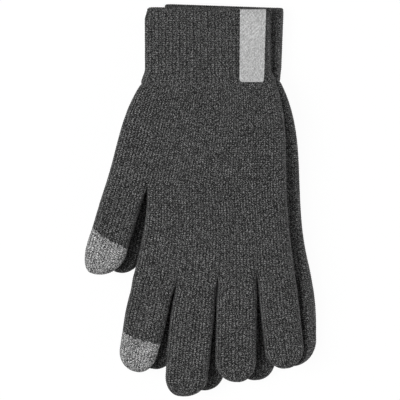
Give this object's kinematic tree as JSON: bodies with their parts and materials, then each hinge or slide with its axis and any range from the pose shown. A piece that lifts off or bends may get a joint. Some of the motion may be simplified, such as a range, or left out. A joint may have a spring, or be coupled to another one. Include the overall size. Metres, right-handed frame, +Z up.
{
  "type": "pair of knitted touchscreen gloves",
  "caption": "Pair of knitted gloves lying one on the other, with ribbed cuffs, contrasting conductive thumb and index tips for touchscreens, and a bare woven cuff label.",
  "frame": {"origin": "on the table, under the middle of the pair's outline", "axes": "+Z up from the table, +Y from the fingertips to the cuffs, +X from the thumbs to the little fingers"},
  "size_m": [0.1404, 0.2352, 0.0212],
  "materials": {
    "charcoal_knit": "heathered charcoal jersey knit, matt",
    "charcoal_conductive_knit": "heathered charcoal knit with conductive yarn, matt",
    "grey_conductive_knit": "heathered light grey knit with conductive yarn, matt",
    "edge_thread": "charcoal overlocked edge, matt",
    "label_weave": "light grey woven ribbon, satin"
  },
  "bodies": {
    "right_glove": {"right_hand": "charcoal_knit", "right_cuff": "charcoal_knit", "right_cuff_edge": "edge_thread"},
    "right_thumb": {"right_thumb": "charcoal_knit", "right_thumb_tip": "charcoal_conductive_knit"},
    "right_index": {"right_index": "charcoal_knit", "right_index_tip": "charcoal_conductive_knit"},
    "right_middle": {"right_middle": "charcoal_knit"},
    "right_ring": {"right_ring": "charcoal_knit"},
    "right_little": {"right_little": "charcoal_knit"},
    "left_glove": {"left_hand": "charcoal_knit", "left_cuff": "charcoal_knit", "left_cuff_edge": "edge_thread", "cuff_label": "label_weave"},
    "left_thumb": {"left_thumb": "charcoal_knit", "left_thumb_tip": "grey_conductive_knit"},
    "left_index": {"left_index": "charcoal_knit", "left_index_tip": "grey_conductive_knit"},
    "left_middle": {"left_middle": "charcoal_knit"},
    "left_ring": {"left_ring": "charcoal_knit"},
    "left_little": {"left_little": "charcoal_knit"}
  },
  "joints": [
    {"name": "pair_lift", "type": "slide", "parent": "right_glove", "child": "left_glove", "axis": [0, 0, 1], "range_m": [0, 0.08]},
    {"name": "right_thumb_spread", "type": "hinge", "parent": "right_glove", "child": "right_thumb", "pos_m": [-0.05036, 0.01378, 0.005], "axis": [0, 0, -1], "range_deg": [0, 25]},
    {"name": "right_index_spread", "type": "hinge", "parent": "right_glove", "child": "right_index", "pos_m": [-0.03352, -0.04074, 0.005], "axis": [0, 0, -1], "range_deg": [0, 12]},
    {"name": "right_middle_spread", "type": "hinge", "parent": "right_glove", "child": "right_middle", "pos_m": [-0.00829, -0.04703, 0.005], "axis": [0, 0, -1], "range_deg": [0, 4]},
    {"name": "right_ring_spread", "type": "hinge", "parent": "right_glove", "child": "right_ring", "pos_m": [0.03997, -0.04189, 0.005], "axis": [0, 0, 1], "range_deg": [0, 4.5]},
    {"name": "right_little_spread", "type": "hinge", "parent": "right_glove", "child": "right_little", "pos_m": [0.06505, -0.03939, 0.005], "axis": [0, 0, 1], "range_deg": [0, 15]},
    {"name": "left_thumb_fold", "type": "hinge", "parent": "left_glove", "child": "left_thumb", "pos_m": [-0.04529, 0.00962, 0.0204], "axis": [-0.9848, 0.1736, 0], "range_deg": [0, 90]},
    {"name": "left_index_fold", "type": "hinge", "parent": "left_glove", "child": "left_index", "pos_m": [-0.0275, -0.04284, 0.0204], "axis": [-1, 0, 0], "range_deg": [0, 90]},
    {"name": "left_middle_fold", "type": "hinge", "parent": "left_glove", "child": "left_middle", "pos_m": [-0.00239, -0.04521, 0.0204], "axis": [-1, 0, 0], "range_deg": [0, 90]},
    {"name": "left_ring_fold", "type": "hinge", "parent": "left_glove", "child": "left_ring", "pos_m": [0.02174, -0.04399, 0.0204], "axis": [-1, 0, 0], "range_deg": [0, 90]},
    {"name": "left_little_fold", "type": "hinge", "parent": "left_glove", "child": "left_little", "pos_m": [0.04536, -0.0416, 0.0204], "axis": [-1, 0, 0], "range_deg": [0, 90]}
  ],
  "couplings": [
    {"joint": "right_middle_spread", "follows": "right_index_spread", "ratio": 0.33333},
    {"joint": "right_ring_spread", "follows": "right_little_spread", "ratio": 0.3}
  ]
}
